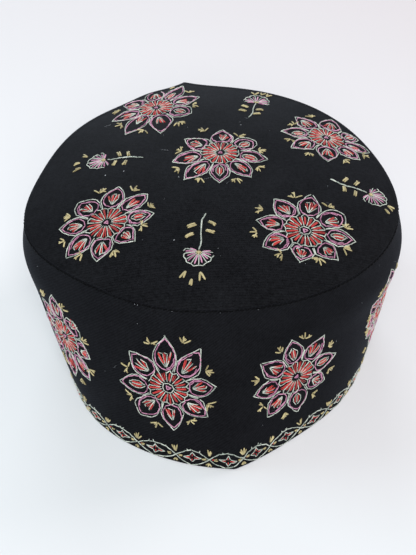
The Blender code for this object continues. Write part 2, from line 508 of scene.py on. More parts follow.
# Rings at growing shares of the way from the plan's middle to the seam; then the roll under the edge, and
# the same rings back for the inner face, a wall's thickness lower
def crownShell():
    v = crownValues
    columns = v["columns"]
    phi = fullTurn * np.arange(columns) / columns
    reach = np.interp(nearTurn(phi, 0.0), edgePhi, edgeReach, period=fullTurn)
    seamPhi = np.interp(nearTurn(phi, 0.0), edgePhi, edgeSeamPhi)
    seam = seamLevel(seamPhi)
    wall = capShape["wall"]
    middle = capShape["planMiddle"]

    def plan(radius):
        x = radius * np.sin(phi) - middle[0]
        y = -radius * np.cos(phi) + planMidY - middle[1]
        return x, y

    even = np.arange(1, v["outerRows"] + 1) / v["outerRows"]
    shares = even + v["rowsDraw"] * np.sin(math.pi * even) * even
    x, y = plan(shares[:, None] * reach)
    level = crownLevel(x, y)
    inside = (1 - shares)[:, None] * reach
    ridge = v["ridge"] * np.exp(-((inside - v["ridgeAt"]) / v["ridgeWidth"]) ** 2)
    outer = joined(x, y, level + ridge)
    quarter = np.linspace(0, math.pi / 2, 5)[1:, None]
    roll = v["roll"]
    x, y = plan(reach - roll * (1 - np.cos(quarter)))
    level = seam + roll * (1 - np.sin(quarter))
    under = joined(x, y, level)
    backShares = np.linspace(1, 0, v["innerRows"] + 1)[:-1]
    x, y = plan(backShares[:, None] * (reach - wall))
    drop = (seam - roll - crownApex + wall) * backShares[:, None] ** capShape["crownPower"]
    inner = joined(x, y, crownApex - wall + drop + roll)
    inner[0, :, 2] = seam - v["innerDip"]
    rings = np.concatenate([outer, under, inner], axis=0)
    rows = len(rings)
    quads, cells = gridFaces(rows, columns)
    quads = quads[:, ::-1]
    middleX, middleY = -middle[0], planMidY - middle[1]
    apexLevel = float(crownLevel(np.array([middleX]), np.array([middleY]))[0])
    poles = np.array([[middleX, middleY, apexLevel], [middleX, middleY, crownApex - wall + roll]])
    points = np.concatenate([rings.reshape(-1, 3), poles])
    column = np.arange(columns)
    nextColumn = (column + 1) % columns
    last = (rows - 1) * columns
    topFan = joined(column, nextColumn, rows * columns)
    lowFan = joined(last + nextColumn, last + column, rows * columns + 1)
    triangles = np.concatenate([topFan, lowFan])
    # The flat panel was cut from cloth lying straight, so its map is the plan in mm
    flat = points[:, :2]
    uvs = np.concatenate([flat[quads.ravel()], flat[triangles.ravel()]])
    return putMesh("crown_cloth_panel", points, quads, triangles, uvs)


crown = crownShell()
crown.data.materials.append(clothMaterial("black_cotton_twill_crown", crownValues))
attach(crown, "root")
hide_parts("crown")
print("crown:", len(crown.data.polygons), "faces")

# Embroidery. Every stitch is a row of seven numbers: its two ends in mm on the cloth (x0, y0, x1, y1),
# its width, how high it lies, and its depth of dye. On the crown x and y are the plan; on the band x is the
# running girth from the front and y the height up the wall. A book keeps the stitches of an area by colour.
# Widths and lengths are in mm. The shares say how much single stitches differ.
threadWork = {
    "outline": 0.51, "petal": 0.54, "satin": 0.52, "ray": 0.459, "tuft": 0.78, "apart": 0.50, "lie": 0.20,
    "widthShares": (0.86, 1.14), "lieShares": (0.7, 1.3), "dye": (0.45, 0.27),
    "stitch": 3.2, "wander": 0.20, "overrun": 0.14, "uneven": 0.16, "flatness": 0.80, "sides": 6,
    "wrapLong": 1.6, "seamClear": 0.982,
}
stitchRings = np.array([0.0, 0.14, 0.5, 0.86, 1.0])
stitchSwell = np.array([0.45, 0.90, 1.0, 0.90, 0.45])
stitchDive = np.array([-0.55, 0.55, 1.0, 0.55, -0.55])


def polar(degrees, reach):
    turn = np.radians(degrees)
    return joined(reach * np.cos(turn), reach * np.sin(turn))


def direction(vector):
    return math.degrees(math.atan2(vector[1], vector[0]))


def sideways(vectors):
    return joined(-vectors[..., 1], vectors[..., 0])


def bezier(start, first, second, end, count=40):
    t = np.linspace(0, 1, count)[:, None]
    return (1 - t) ** 3 * start + 3 * (1 - t) ** 2 * t * first + 3 * (1 - t) * t ** 2 * second + t ** 3 * end


# Straight stitches from starts to ends, longer than these by the overrun at both ends
def sew(book, colour, starts, ends, rng, width, overrun=0.0):
    v = threadWork
    starts, ends = np.broadcast_arrays(np.atleast_2d(starts), np.atleast_2d(ends))
    along = ends - starts
    along = along / np.maximum(np.linalg.norm(along, axis=1, keepdims=True), 1e-6)
    count = len(starts)
    widths = width * rng.uniform(*v["widthShares"], (count, 1))
    lie = v["lie"] * rng.uniform(*v["lieShares"], (count, 1))
    dye = np.clip(rng.normal(*v["dye"], (count, 1)), 0.0, 1.0)
    rows = np.concatenate([starts - along * overrun, ends + along * overrun, widths, lie, dye], axis=1)
    book.setdefault(colour, []).append(rows)
    return rows


# A line of back stitches: points at even running lengths along the line, each a little off it, joined in
# pairs that overrun slightly
def sewLine(book, colour, line, rng, width, stitch=None, wander=None):
    v = threadWork
    stitch = stitch or v["stitch"]
    line = np.asarray(line, float)
    running = np.concatenate([[0], np.cumsum(np.linalg.norm(np.diff(line, axis=0), axis=1))])
    count = max(1, int(round(running[-1] / stitch)))
    marks = np.linspace(0, running[-1], count + 1)
    marks[1:-1] += rng.uniform(-v["uneven"], v["uneven"], count - 1) * stitch
    joints = joined(*[np.interp(marks, running, line[:, axis]) for axis in (0, 1)])
    joints = joints + rng.normal(0, wander or v["wander"], (count + 1, 2))
    sew(book, colour, joints[:-1], joints[1:], rng, width, v["overrun"])


# Two threads side by side, for the filled strokes
def sewPair(book, colour, start, end, rng, width, apart):
    start = np.atleast_2d(start)
    end = np.atleast_2d(end)
    side = sideways(unit(end - start)) * apart / 2
    starts = np.concatenate([start + side, start - side]) + rng.normal(0, 0.10, (2 * len(start), 2))
    ends = np.concatenate([end + side, end - side]) + rng.normal(0, 0.16, (2 * len(start), 2))
    sew(book, colour, starts, ends, rng, width)


# Yellow tuft: short strokes from one foot, spread wide like a bird's. A wide tuft has small barbs as well.
tuftValues = {
    "turn": 9, "shares": (0.72, 1.12), "clear": 0.3,
    "barbFrom": (0.15, 0.60), "barbTurn": 48, "barbWander": 10, "barbShares": (0.30, 0.50),
}


def tuft(book, foot, facing, rng, reach, spread, strokes, barbs=0, broad=1.0):
    v = tuftValues
    width = threadWork["tuft"] * broad
    turns = facing + np.linspace(-spread, spread, strokes) + rng.normal(0, v["turn"], strokes)
    lengths = reach * rng.uniform(*v["shares"], strokes)
    near = foot + polar(turns, v["clear"])
    far = foot + polar(turns, lengths)
    sew(book, "yellow", near, far, rng, width)
    if barbs:
        carrier = rng.integers(0, strokes, barbs)
        start = near[carrier] + (far - near)[carrier] * rng.uniform(*v["barbFrom"], (barbs, 1))
        lean = turns[carrier] + rng.choice([-v["barbTurn"], v["barbTurn"]], barbs)
        lean = lean + rng.normal(0, v["barbWander"], barbs)
        barbEnds = start + polar(lean, reach * rng.uniform(*v["barbShares"], barbs))
        sew(book, "yellow", start, barbEnds, rng, width)


# A bud in a petal: three red strokes fan from one foot, between and beside sage lines. It opens outward or
# back towards the middle, or it is a closed drop with two strokes side by side. Reaches are shares of its
# length, and the drop's line is given by shares of its length and width.
budValues = {
    "line": 0.4692, "turn": 7, "wander": 3, "splay": 26, "mostRoom": 0.6, "splayShares": (0.85, 1.1),
    "lines": (-1.45, -0.5, 0.5, 1.45),
    "sideReach": (0.50, 0.78), "lineReach": (0.80, 1.02), "strokeFrom": (0.26, 0.30, 0.26),
    "strokeReach": (0.78, 1.0), "capped": 0.6,
    "drop": ((0.0, 0.05), (0.30, 0.36), (0.68, 0.36), (1.0, 0.06)),
    "dropStroke": (0.18, 0.84), "dropVein": (0.14, 0.86), "dropApart": 0.15,
}


def bud(book, kind, facing, near, far, width, rng):
    v = budValues
    line = v["line"]
    satin, apart = threadWork["satin"], threadWork["apart"]
    long = far - near
    foot = polar(facing, far if kind == "back" else near)
    heading = facing + rng.normal(0, v["turn"]) + (180 if kind == "back" else 0)
    if kind == "drop":
        axis = polar(heading, 1.0)
        side = sideways(axis)
        for hand in (-1, 1):
            bend = np.array(v["drop"]) * [long, hand * width]
            bend = foot + bend[:, :1] * axis + bend[:, 1:] * side + rng.normal(0, 0.2, (4, 2))
            sew(book, "sage", bend[:-1], bend[1:], rng, line, 0.1)
            beside = side * hand * v["dropApart"] * width
            near, far = (foot + axis * share * long + beside for share in v["dropStroke"])
            sewPair(book, "red", near, far, rng, satin, apart)
        near, far = (foot + axis * share * long for share in v["dropVein"])
        sew(book, "sage", near, far, rng, line)
        return
    room = math.degrees(math.asin(min(v["mostRoom"], width / 2 / long)))
    splay = min(v["splay"], room) * rng.uniform(*v["splayShares"])
    strokes = heading + np.array([-1, 0, 1]) * splay + rng.normal(0, v["wander"], 3)
    ends = foot + polar(strokes, long * rng.uniform(*v["strokeReach"], 3))
    sewPair(book, "red", foot + polar(strokes, long * np.array(v["strokeFrom"])), ends, rng, satin, apart)
    lines = heading + np.array(v["lines"]) * splay + rng.normal(0, v["wander"], 4)
    sideReach = rng.uniform(*v["sideReach"], 4)
    lineReach = rng.uniform(*v["lineReach"], 4)
    tops = foot + polar(lines, long * np.where([True, False, False, True], sideReach, lineReach))
    sew(book, "sage", foot + polar(lines, 0.4), tops, rng, line)
    capped = rng.uniform(0, 1, 3) < v["capped"]
    sew(book, "sage", tops[:-1][capped], ends[capped] + polar(heading, 0.3), rng, line, 0.1)


# Rosette: eight petals round a rayed core. A petal's sage line follows the ray half-way to its neighbour up
# to the notch, then bends to the tip; its pink line is a closed drop about 1 mm inside; a bud fills it.
# Pointed and blunt petals differ in how full the sage line bends, and in how wide and how high the pink
# drop's sides stand.
rosetteValues = {
    "cells": 17, "openRing": 1.9, "gap": 0.65, "redTo": 9.0, "redApart": 0.55, "scallop": 9.8, "dip": 0.9,
    "scallopShare": 0.78, "ringStitch": 2.2, "eye": 1.1, "ringEye": 1.3, "eyeWidth": 0.62,
    "petalFoot": 9.3, "notch": 15.4, "evenHalf": 22.5, "evenReach": 25.0, "rayTurn": 1.4,
    "bend": (0.19, 0.29),
    "pointed": (0.0, 0.91, 0.745), "blunt": (0.36, 0.98, 0.86),
    "pinkFoot": 0.7, "pinkSide": 1.30, "pinkInside": 1.7, "pinkStitch": 2.9, "pinkAgain": 0.55,
    "againShare": 0.42, "tuftReach": 21.5, "tuftFoot": 0.9, "tuftLong": 4.0, "tuftSpreads": (46, 60, 72),
    "budFrom": 1.9, "budShare": 0.54, "budLong": (5.6, 9.4), "budWidth": 6.8,
}


def petal(book, tip, reach, right, left, isBlunt, kind, rng):
    v = rosetteValues
    outline, pink = threadWork["outline"], threadWork["petal"]
    full, wide, high = v["blunt"] if isBlunt else v["pointed"]
    middle = (left + right) / 2
    half = (left - right) / 2
    bend = rng.uniform(*v["bend"]) + full
    point = polar(tip, reach)
    low = v["petalFoot"] + v["pinkFoot"]
    foot = polar(middle, low)
    inner = polar((tip * 3 + middle) / 4, reach - v["pinkInside"])
    inside = reach - v["pinkInside"] - v["petalFoot"] - 1
    for hand, notchAngle in ((1, left), (-1, right)):
        ray = notchAngle - hand * v["rayTurn"]
        # The notch lies further out beside a narrow petal and beside a long one
        farOut = (v["evenHalf"] / half) ** 0.5 * (0.6 + 0.4 * reach / v["evenReach"])
        notch = polar(ray, v["notch"] * farOut)
        control = notch + polar(ray, 1.0) * bend * np.linalg.norm(point - notch)
        curve = bezier(notch, (notch + 2 * control) / 3, (point + 2 * control) / 3, point)
        sewLine(book, "sage", [polar(ray, v["petalFoot"] + rng.uniform(0, 1.2)), notch], rng, outline)
        sewLine(book, "sage", curve, rng, outline)
        first = polar(middle + hand * v["pinkSide"] * half, low * 1.12)
        second = polar((tip + middle) / 2 + hand * wide * half, v["petalFoot"] + 1 + inside * high)
        drop = bezier(foot, first, second, inner)
        sewLine(book, "pink", drop, rng, pink, v["pinkStitch"])
        if rng.uniform() < v["againShare"]:
            # A second line beside part of the first one, a little further inside
            start = int(rng.uniform(0, 0.45) * len(drop))
            again = drop[start:start + len(drop) // 2]
            again = again + unit(polar(middle, (v["petalFoot"] + reach) / 2) - again) * v["pinkAgain"]
            sewLine(book, "pink", again, rng, pink * 0.9, v["pinkStitch"])
    near = v["petalFoot"] + v["budFrom"] + rng.uniform(-0.3, 0.3)
    long = float(np.clip(v["budShare"] * (reach - v["petalFoot"]), *v["budLong"]))
    far = near + long * rng.uniform(0.94, 1.08)
    broad = min(v["budWidth"], 0.94 * math.radians(half) * (near + far) / 2)
    bud(book, kind, (tip + middle) / 2, near, far, broad, rng)


# The core: red cells between sage rays that run in to the middle, or to a ring round it
def core(book, ring, rng):
    v = rosetteValues
    ray = threadWork["ray"]
    count = v["cells"]
    turns = np.arange(count) * 360 / count + rng.uniform(0, 20) + rng.normal(0, 1.4, count)
    between = turns + 180 / count
    inner = ring or v["openRing"]
    redFrom = polar(turns, inner + v["gap"] + np.abs(rng.normal(0, 0.4, count)))
    redTo = polar(turns, v["redTo"] + rng.normal(0, 0.45, count))
    sewPair(book, "red", redFrom, redTo, rng, threadWork["satin"], v["redApart"])
    rayFrom = polar(between, inner + 0.1 + np.abs(rng.normal(0, 0.3, count)))
    halfWay = polar(between + rng.normal(0, 1.0, count), (inner + v["scallop"]) / 2)
    sew(book, "sage", rayFrom, halfWay, rng, ray, 0.1)
    sew(book, "sage", halfWay, polar(between, v["scallop"] - 0.6), rng, ray, 0.1)
    crest = polar(turns, v["scallop"] + rng.normal(0, 0.35, count))
    dips = polar(between, v["scallop"] - v["dip"] + rng.normal(0, 0.25, count))
    starts = np.concatenate([crest, np.roll(dips, 1, axis=0)])
    ends = np.concatenate([dips, crest])
    sewn = rng.uniform(0, 1, 2 * count) < v["scallopShare"]
    sew(book, "sage", starts[sewn], ends[sewn], rng, ray, 0.05)
    if ring:
        sewLine(book, "sage", polar(np.linspace(0, 360, 60), ring), rng, ray, v["ringStitch"])
    corners = polar(np.array([0, 120, 240]) + rng.uniform(0, 120), v["ringEye"] if ring else v["eye"])
    sew(book, "pink", corners, np.roll(corners, -1, axis=0), rng, v["eyeWidth"], 0.2)


def rosette(book, centre, motif, rng):
    v = rosetteValues
    local = {}
    tips = sorted(motif["tips"])
    angles = np.array([tip[0] for tip in tips], float)
    notches = angles + (np.roll(angles, -1) - angles) % 360 / 2
    named = motif["kinds"].split() if "kinds" in motif else None
    kinds = named or rng.choice(["out", "out", "out", "back", "drop"], len(tips))
    for index, tip in enumerate(angles):
        left = notches[index]
        right = notches[index - 1] if index else notches[-1] - 360
        isBlunt = tip in motif.get("blunt", ())
        petal(local, tip, tips[index][1], right, left, isBlunt, kinds[index], rng)
    core(local, motif.get("ring"), rng)
    evenly = [(notch + rng.normal(0, 2.5), v["tuftReach"] + rng.normal(0, 0.8)) for notch in notches]
    for angle, reach in motif.get("tufts") or evenly:
        foot = polar(angle, reach - v["tuftFoot"])
        spread, strokes = rng.choice(v["tuftSpreads"]), int(rng.choice([3, 3, 4]))
        tuft(local, foot, angle + rng.normal(0, 18), rng, v["tuftLong"], spread, strokes, 2)
    for colour, parts in local.items():
        book.setdefault(colour, []).append(np.concatenate(parts) + [*centre, *centre, 0, 0, 0])


# Sprig: a crooked sage stem, a fan flower with sage ribs and pink strokes over a yellow foot, four yellow
# leaves along the stem and three yellow marks beyond the flower
sprigValues = {
    "stem": 0.663, "stemStitch": 2.6, "stemWander": 0.22, "sway": 0.06,
    "ribs": 8, "ribFrom": 0.9, "fan": 98, "backDepth": 2.6,
    "fill": 0.728, "fillFrom": 0.24, "fillTo": (0.84, 0.98), "lobe": 1.08, "lobeLine": 0.4845,
    "foot": 1.7, "leafLong": 4.3, "leafBroad": 0.897, "leafApart": 0.85, "markLong": 4.4, "markBroad": 1.25,
    "markSpread": 13,
}


def sprig(book, motif, rng):
    v = sprigValues
    tip, flower, end = (np.array(motif[key], float) for key in ("tip", "flower", "end"))
    along = unit(flower - tip)
    beside = sideways(along)
    sway = beside * v["sway"] * np.linalg.norm(flower - tip)
    first = tip * 0.6 + flower * 0.4 - sway * 2
    second = tip * 0.35 + flower * 0.65 + sway
    stem = bezier(tip, first, second, flower - along * 1.5)
    sewLine(book, "sage", stem, rng, v["stem"], v["stemStitch"], v["stemWander"])
    heading = direction(end - flower)
    deep = np.linalg.norm(end - flower)
    broad = motif["width"] / 2

    # A share of the fan's reach: one ellipse in front of the foot, a flatter one behind it
    def fan(turns, share):
        depth = np.where(np.abs(turns) < 90, deep, v["backDepth"])
        reach = ((np.cos(np.radians(turns)) / depth) ** 2 + (np.sin(np.radians(turns)) / broad) ** 2) ** -0.5
        return flower + polar(heading + turns, reach * share)

    turns = np.linspace(-v["fan"], v["fan"], v["ribs"]) + rng.normal(0, 2.5, v["ribs"])
    ends = fan(turns, 1.0)
    sew(book, "sage", flower + polar(heading + turns, v["ribFrom"]), ends, rng, threadWork["outline"], 0.15)
    fills = np.concatenate([(turns[1:] + turns[:-1]) / 2, [turns[0] - 9, turns[-1] + 9]])
    fills = fills + rng.normal(0, 2, len(fills))
    fillEnds = fan(fills, rng.uniform(*v["fillTo"], len(fills)))
    sew(book, "pink", fan(fills, v["fillFrom"]), fillEnds, rng, v["fill"])
    lobes = fan(fills[:-2], v["lobe"])
    sew(book, "sage", ends[:-1], lobes, rng, v["lobeLine"], 0.05)
    sew(book, "sage", lobes[1:-1], ends[2:-1], rng, v["lobeLine"], 0.05)
    toes = flower + polar(heading + np.linspace(-70, 70, 5), v["foot"])
    sew(book, "yellow", flower - along * 0.6, toes, rng, threadWork["satin"])
    for leaf in motif["leaves"]:
        leaf = np.array(leaf, float)
        hand = np.sign(np.dot(leaf - tip, beside))
        lean = polar(direction(beside * hand + along * rng.uniform(0.0, 0.7)), v["leafLong"] / 2)
        sewPair(book, "yellow", leaf - lean, leaf + lean, rng, v["leafBroad"], v["leafApart"])
        barb = polar(direction(lean) + 26 * rng.choice([-1, 1]), v["leafLong"] / 2)
        sew(book, "yellow", leaf + lean * 0.1, leaf + barb, rng, threadWork["tuft"])
    for mark in motif["beyond"]:
        facing = direction(np.array(mark) - flower)
        foot = mark - polar(facing, v["markLong"] / 2)
        tuft(book, foot, facing, rng, v["markLong"], v["markSpread"], 2, 0, v["markBroad"])


# Border: two sage waves that cross, a four-petalled flower in each lens between them, yellow seeds on both
# sides of it, small spurs on the upper wave and a yellow tuft over and under each crossing. The seeds and the
# red tick stand at a share of the lens from its flower and from the crossing.
borderValues = {
    "middle": 5.1, "wave": 4.3, "cells": 32, "line": 0.5355, "stitch": 3.0, "spur": 1.2, "spurTurn": 35,
    "flowerWide": 0.235, "flowerTall": 2.8, "notch": (0.3, 0.34), "red": 0.624, "redShares": (0.22, 0.76),
    "seedAt": 0.10, "seed": (0.9, 0.1), "seedBroad": 0.598, "seedApart": 0.55,
    "tickAt": 0.085, "tick": (0.9, 0.35), "tickBroad": 0.572,
    "tufts": ((1.8, 90, 4.0, 25, 4), (-2.0, 270, 2.2, 36, 3)),
}


def border(book, crossings, rng):
    v = borderValues
    outline, satin = threadWork["outline"], threadWork["satin"]
    a, b = v["notch"]
    star = np.array([[1, 0], [a, b], [0, 1], [-a, b], [-1, 0], [-a, -b], [0, -1], [a, -b]])
    for left, right in zip(crossings[:-1], crossings[1:]):
        long = right - left
        share = np.linspace(0, 1, 40)
        for hand in (-1, 1):
            y = v["middle"] + hand * v["wave"] * np.sin(math.pi * share) ** 0.9 * rng.uniform(0.94, 1.02)
            sewLine(book, "sage", joined(left + share * long, y), rng, v["line"], v["stitch"])
            marks = rng.uniform(0.25, 0.75, 3)
            feet = joined(left + marks * long, v["middle"] + v["wave"] * np.sin(math.pi * marks))
            if hand > 0:
                spurs = polar(90 + rng.normal(0, v["spurTurn"], 3), v["spur"])
                sew(book, "sage", feet, feet + spurs, rng, threadWork["ray"])
        middle = np.array([(left + right) / 2 + rng.normal(0, 0.3), v["middle"] + rng.normal(0, 0.15)])
        wide = v["flowerWide"] * long * rng.uniform(0.92, 1.08)
        tall = v["flowerTall"] * rng.uniform(0.92, 1.05)
        corners = middle + star * [wide, tall] + rng.normal(0, 0.24, (8, 2))
        sew(book, "sage", corners, np.roll(corners, -1, axis=0), rng, threadWork["ray"], 0.08)
        near, far = (middle + star[::2] * [wide, tall] * share for share in v["redShares"])
        sew(book, "red", near, far + rng.normal(0, 0.15, (4, 2)), rng, v["red"])
        for hand in (-1, 1):
            seed = middle + np.array([hand * (wide + v["seedAt"] * long), 0.0])
            half = np.array(v["seed"])
            sewPair(book, "yellow", seed - half, seed + half, rng, v["seedBroad"], v["seedApart"])
        tick = np.array([left + v["tickAt"] * long, v["middle"]])
        sew(book, "red", tick, tick + v["tick"], rng, v["tickBroad"])
    for crossing in crossings[:-1]:
        for above, facing, reach, spread, strokes in v["tufts"]:
            foot = np.array([crossing, v["middle"] + above])
            tuft(book, foot, facing + rng.normal(0, 8), rng, reach, spread, strokes)


# Angle round the cap at a running girth, which closes on itself at the back
def angleAt(x, girth):
    whole = girth[-1] - girth[0]
    return np.interp(girth[0] + (x - girth[0]) % whole, girth, girthPhi)


# Tubes along all stitches of one colour at once: five rings of six points each, drawn in and sunk into the
# cloth at both ends, and flattened a little. A ring's points are its middle plus the sideways direction
# times the cosine and the outward direction times the sine of the turn round the thread. With no girth given
# the stitches lie on the crown.
def stitchTubes(name, stitches, girth, material):
    sides = threadWork["sides"]
    rings = len(stitchRings)
    count = len(stitches)
    start, end = stitches[:, None, 0:2], stitches[:, None, 2:4]
    flat = start + (end - start) * stitchRings[None, :, None]
    across, upward = flat[..., 0], flat[..., 1]
    surface, facing = crownPoint, crownNormal
    if girth is not None:
        across = angleAt(across, girth)
        upward = upward / seamLevel(across)
        surface, facing = bandPoint, bandNormal
    outward = facing(across, upward)
    lie = stitches[:, 5:6] * stitchDive
    middle = surface(across, upward) + outward * lie[..., None]
    along = unit(np.gradient(middle, axis=1))
    side = unit(np.cross(outward, along))
    rise = np.cross(along, side) * threadWork["flatness"]
    turn = (fullTurn * np.arange(sides) / sides)[:, None]
    half = (stitches[:, 4:5] * stitchSwell / 2)[..., None, None]
    around = side[:, :, None, :] * np.cos(turn) + rise[:, :, None, :] * np.sin(turn)
    points = middle[:, :, None, :] + around * half
    block = gridFaces(rings, sides)[0][:, [0, 3, 2, 1]]
    caps = np.array([[0, 1, 2, 3], [0, 3, 4, 5]])
    lastCaps = (rings - 1) * sides + np.array([[3, 2, 1, 0], [5, 4, 3, 0]])
    block = np.concatenate([block, caps, lastCaps])
    quads = (np.arange(count)[:, None, None] * (rings * sides) + block[None]).reshape(-1, 4)
    # Map in mm: along the thread, and round it
    length = np.linalg.norm(stitches[:, 2:4] - stitches[:, 0:2], axis=1)[:, None, None]
    runs = length * stitchRings[block // sides][None]
    rounds = (block % sides).astype(float)
    wrap = (rounds.max(axis=1) - rounds.min(axis=1) > sides / 2)[:, None] & (rounds == 0)
    rounds = np.where(wrap, sides, rounds) / sides * threadWork["wrapLong"]
    uvs = joined(runs, rounds[None])
    shade = np.repeat(stitches[:, 6], rings * sides)
    piece = putMesh(name, points.reshape(-1, 3), quads, None, uvs.reshape(-1, 2), shade)
    piece.data.materials.append(material)
    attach(piece, "root")
    return piece


# Motifs, as measured: each petal tip has its direction in degrees and its reach in mm, and so has each tuft.
# On the crown 0 is +X and 90 is towards the back; on the band 0 is round the cap to the right and 90 is up.
crownRosettes = [
    {"centre": (3.2, 17.0), "blunt": (34,), "tips": [
        (34, 21.1), (90, 21.7), (147, 22.2), (201, 24.9), (236, 28.6), (272, 25.2), (309, 25.5), (350, 23.7)],
     "kinds": "drop out out out out drop out drop",
     "tufts": [(10, 19.8), (62, 18.6), (115, 22.7), (177, 20.2), (217, 24.5), (249, 24.3), (293, 23.5),
               (330, 22.3)]},
    {"centre": (-45.9, -35.5), "blunt": (136,), "tips": [
        (11, 21.8), (46, 25.0), (84, 24.7), (136, 22.0), (181, 22.6), (228, 24.2), (267, 22.3), (319, 19.3)],
     "kinds": "drop out out out out out out back",
     "tufts": [(25, 21.3), (65, 23.5), (107, 22.3), (160, 20.1), (204, 20.9), (243, 19.9), (290, 18.5),
               (349, 17.7)]},
    {"centre": (44.5, -36.4), "blunt": (38,), "ring": 2.6, "tips": [
        (38, 23.3), (82, 24.7), (128, 23.5), (173, 22.3), (215, 23.0), (263, 18.9), (317, 19.6), (359, 23.3)],
     "kinds": "out out out out out back out drop",
     "tufts": [(18, 20.7), (59, 21.9), (103, 22.1), (152, 22.5), (192, 22.9), (236, 19.2), (292, 16.3),
               (341, 19.0)]},
    {"centre": (-34.4, 64.8), "blunt": (336,), "tips": [
        (27, 25.5), (66, 30.0), (93, 25.0), (152, 22.2), (208, 25.4), (246, 31.6), (281, 30.2), (336, 22.2)],
     "tufts": [(2, 20.5), (46, 24.8), (80, 26.5), (122, 23.0), (180, 22.0), (227, 24.5), (263, 26.4),
               (306, 24.0)]},
    {"centre": (56.7, 42.1), "tips": [
        (20, 18.6), (81, 23.8), (132, 23.7), (183, 23.5), (221, 24.5), (270, 24.1), (318, 22.5),
        (348, 23.0)]},
]
bandRosettes = [
    {"phi": -0.167, "height": 44.9, "blunt": (236,), "ring": 2.9, "tips": [
        (8, 22.2), (58, 27.7), (93, 28.7), (141, 24.5), (191, 25.0), (236, 25.2), (276, 25.2), (321, 23.1)],
     "kinds": "out out out out drop out back out",
     "tufts": [(35, 21.6), (75, 27.6), (111, 25.1), (164, 21.5), (211, 21.8), (257, 24.0), (300, 20.9),
               (339, 19.9)]},
    {"phi": 0.532, "height": 41.4, "tips": [
        (5, 23.1), (56, 24.4), (98, 24.8), (140, 23.7), (186, 22.5), (229, 23.5), (272, 23.6), (324, 20.8)],
     "kinds": "drop out drop back back out drop out",
     "tufts": [(32, 21.1), (82, 23.7), (114, 21.3), (162, 20.9), (210, 21.2), (253, 21.9), (299, 20.3),
               (342, 21.2)]},
    {"phi": -0.845, "height": 47.0, "blunt": (62,), "tips": [
        (62, 16.4), (105, 23.6), (146, 21.3), (188, 22.5), (232, 22.5), (277, 26.5), (313, 24.9),
        (350, 18.4)],
     "kinds": "out out out out back out out out",
     "tufts": [(22, 15.5), (86, 19.3), (129, 22.0), (254, 22.0), (294, 25.1), (327, 20.5)]},
    {"phi": 1.262, "height": 45.0, "tips": [
        (8, 22.8), (52, 23.5), (98, 27.6), (140, 21.4), (186, 15.2), (224, 18.6), (263, 27.0), (318, 22.0)],
     "tufts": [(32, 21.1), (74, 21.7), (119, 21.0), (162, 14.9), (205, 15.2), (244, 24.6), (295, 21.3),
               (342, 21.2)]},
]
hiddenRosettes = {"from": 1.93, "to": 4.76, "count": 5, "height": 43.5, "reach": 24.2}
crownSprigs = [
    {"tip": (-0.9, -30.6), "flower": (-2.0, -54.6), "end": (-3.2, -62.0), "width": 12.8,
     "leaves": [(-6.4, -38.9), (-7.0, -44.9), (2.6, -37.0), (2.0, -42.2)],
     "beyond": [(-7.8, -66.8), (-0.6, -67.2), (-4.4, -70.8)]},
    {"tip": (-35.2, 12.5), "flower": (-54.6, 13.1), "end": (-62.6, 10.8), "width": 13.4,
     "leaves": [(-47.5, 17.2), (-42.9, 16.7), (-48.7, 9.3), (-43.4, 9.0)],
     "beyond": [(-65.8, 19.3), (-69.1, 14.1), (-67.6, 8.4)]},
    {"tip": (57.3, 2.7), "flower": (76.4, -1.5), "end": (83.6, -5.4), "width": 13.4,
     "leaves": [(64.7, 5.1), (70.2, 4.4), (63.7, -2.4), (69.0, -3.8)],
     "beyond": [(84.4, -10.9), (86.4, -7.2)]},
    {"tip": (16.1, 53.7), "flower": (19.6, 72.8), "end": (21.2, 82.2), "width": 13.4,
     "leaves": [(12.6, 61.6), (13.6, 66.8), (20.2, 58.6), (21.6, 63.6)],
     "beyond": [(18.4, 86.0), (22.6, 86.6), (26.0, 84.6)]},
]
seenCrossings = (-0.542, -0.341, -0.126, 0.043, 0.212, 0.361, 0.567, 0.778)

# Each kind of motif has its first random seed, and each motif of the kind the next one
firstSeeds = {"crownRosette": 11, "bandRosette": 21, "sprig": 31, "hidden": 40, "border": 60, "loose": 70}


def dice(kind, index=0):
    return np.random.default_rng(firstSeeds[kind] + index)


crownBook = {}
for index, motif in enumerate(crownRosettes):
    rosette(crownBook, motif["centre"], motif, dice("crownRosette", index))
for index, motif in enumerate(crownSprigs):
    sprig(crownBook, motif, dice("sprig", index))

bandBook = {}
for index, motif in enumerate(bandRosettes):
    centre = (float(np.interp(motif["phi"], girthPhi, midGirth)), motif["height"])
    rosette(bandBook, centre, motif, dice("bandRosette", index))
hiddenPhi = np.linspace(hiddenRosettes["from"], hiddenRosettes["to"], hiddenRosettes["count"])
for index, phi in enumerate(hiddenPhi):
    rng = dice("hidden", index)
    tips = [(45 * k + rng.uniform(-4, 12), hiddenRosettes["reach"] + rng.normal(0, 1.3)) for k in range(8)]
    girth = float(np.interp(nearTurn(phi, 0.0), girthPhi, midGirth))
    rosette(bandBook, (girth, hiddenRosettes["height"] + rng.normal(0, 0.8)), {"tips": tips}, rng)

rimBook = {}
seen = np.interp(seenCrossings, girthPhi, rimGirth)
hiddenCells = borderValues["cells"] - (len(seen) - 1)
hidden = np.linspace(seen[-1], seen[0] + rimGirth[-1] - rimGirth[0], hiddenCells + 1)[1:]
border(rimBook, np.concatenate([seen, hidden]), dice("border"))
print("motifs drawn")
